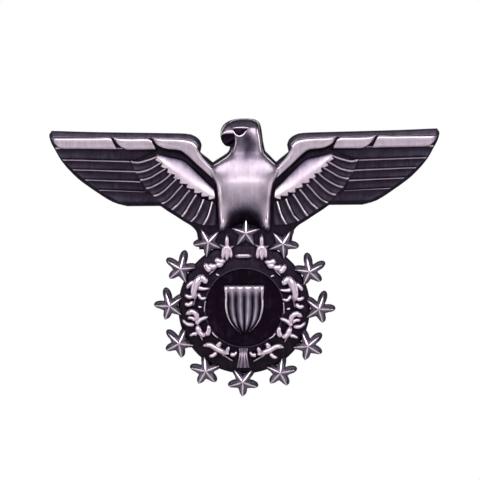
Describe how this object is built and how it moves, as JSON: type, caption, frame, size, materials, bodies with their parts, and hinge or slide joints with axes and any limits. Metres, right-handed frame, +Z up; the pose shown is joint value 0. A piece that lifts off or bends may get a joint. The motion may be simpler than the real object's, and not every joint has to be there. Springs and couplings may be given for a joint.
{
  "type": "cap badge",
  "caption": "Spread-eagle cap badge over an oak wreath with a plain shield and a ring of stars, on two rear posts with butterfly clutches.",
  "frame": {"origin": "on the flat back, on the eagle's centre line and level with its shoulders", "axes": "+X to the viewer's right along the wings, +Y out of the back along the posts, +Z up as worn; the front faces -Y"},
  "size_m": [0.065, 0.0142, 0.0462],
  "materials": {
    "antique_silver": "antique silver plate, bright on the high parts and dark in the recesses",
    "gunmetal": "dark gunmetal, satin",
    "steel_wire": "plain nickel-plated steel",
    "brass": "plain stamped brass, lightly polished"
  },
  "bodies": {
    "badge": {"back_plate": "gunmetal", "eagle": "antique_silver", "left_branch": "antique_silver", "right_branch": "antique_silver", "ribbon_tie": "antique_silver", "field_disc": "gunmetal", "shield": "antique_silver", "star_01": "antique_silver", "star_02": "antique_silver", "star_03": "antique_silver", "star_04": "antique_silver", "star_05": "antique_silver", "star_06": "antique_silver", "star_07": "antique_silver", "star_08": "antique_silver", "star_09": "antique_silver", "star_10": "antique_silver", "star_11": "antique_silver", "star_12": "antique_silver", "left_post": "steel_wire", "right_post": "steel_wire"},
    "left_cup": {"left_clutch_cup": "brass"},
    "left_spring": {"left_clutch_spring": "brass"},
    "left_upper_wing": {"left_upper_clutch_wing": "brass"},
    "left_lower_wing": {"left_lower_clutch_wing": "brass"},
    "right_cup": {"right_clutch_cup": "brass"},
    "right_spring": {"right_clutch_spring": "brass"},
    "right_upper_wing": {"right_upper_clutch_wing": "brass"},
    "right_lower_wing": {"right_lower_clutch_wing": "brass"}
  },
  "joints": [
    {"name": "left_clutch_pull", "type": "slide", "parent": "badge", "child": "left_cup", "axis": [0, 1, 0], "range_m": [0, 0.015]},
    {"name": "left_clutch_spin", "type": "hinge", "parent": "left_cup", "child": "left_spring", "pos_m": [-0.013, 0.0046, -0.0012], "axis": [0, 1, 0], "continuous": true},
    {"name": "left_upper_squeeze", "type": "hinge", "parent": "left_spring", "child": "left_upper_wing", "pos_m": [-0.013, 0.0072, 0.001], "axis": [-1, 0, 0], "range_deg": [0, 8], "stiffness_Nm_per_rad": 0.01},
    {"name": "left_lower_squeeze", "type": "hinge", "parent": "left_spring", "child": "left_lower_wing", "pos_m": [-0.013, 0.0072, -0.0034], "axis": [1, 0, 0], "range_deg": [0, 8], "stiffness_Nm_per_rad": 0.01},
    {"name": "right_clutch_pull", "type": "slide", "parent": "badge", "child": "right_cup", "axis": [0, 1, 0], "range_m": [0, 0.015]},
    {"name": "right_clutch_spin", "type": "hinge", "parent": "right_cup", "child": "right_spring", "pos_m": [0.013, 0.0046, -0.0012], "axis": [0, 1, 0], "continuous": true},
    {"name": "right_upper_squeeze", "type": "hinge", "parent": "right_spring", "child": "right_upper_wing", "pos_m": [0.013, 0.0072, 0.001], "axis": [-1, 0, 0], "range_deg": [0, 8], "stiffness_Nm_per_rad": 0.01},
    {"name": "right_lower_squeeze", "type": "hinge", "parent": "right_spring", "child": "right_lower_wing", "pos_m": [0.013, 0.0072, -0.0034], "axis": [1, 0, 0], "range_deg": [0, 8], "stiffness_Nm_per_rad": 0.01}
  ],
  "couplings": [
    {"joint": "left_lower_squeeze", "follows": "left_upper_squeeze", "ratio": 1},
    {"joint": "right_lower_squeeze", "follows": "right_upper_squeeze", "ratio": 1}
  ]
}
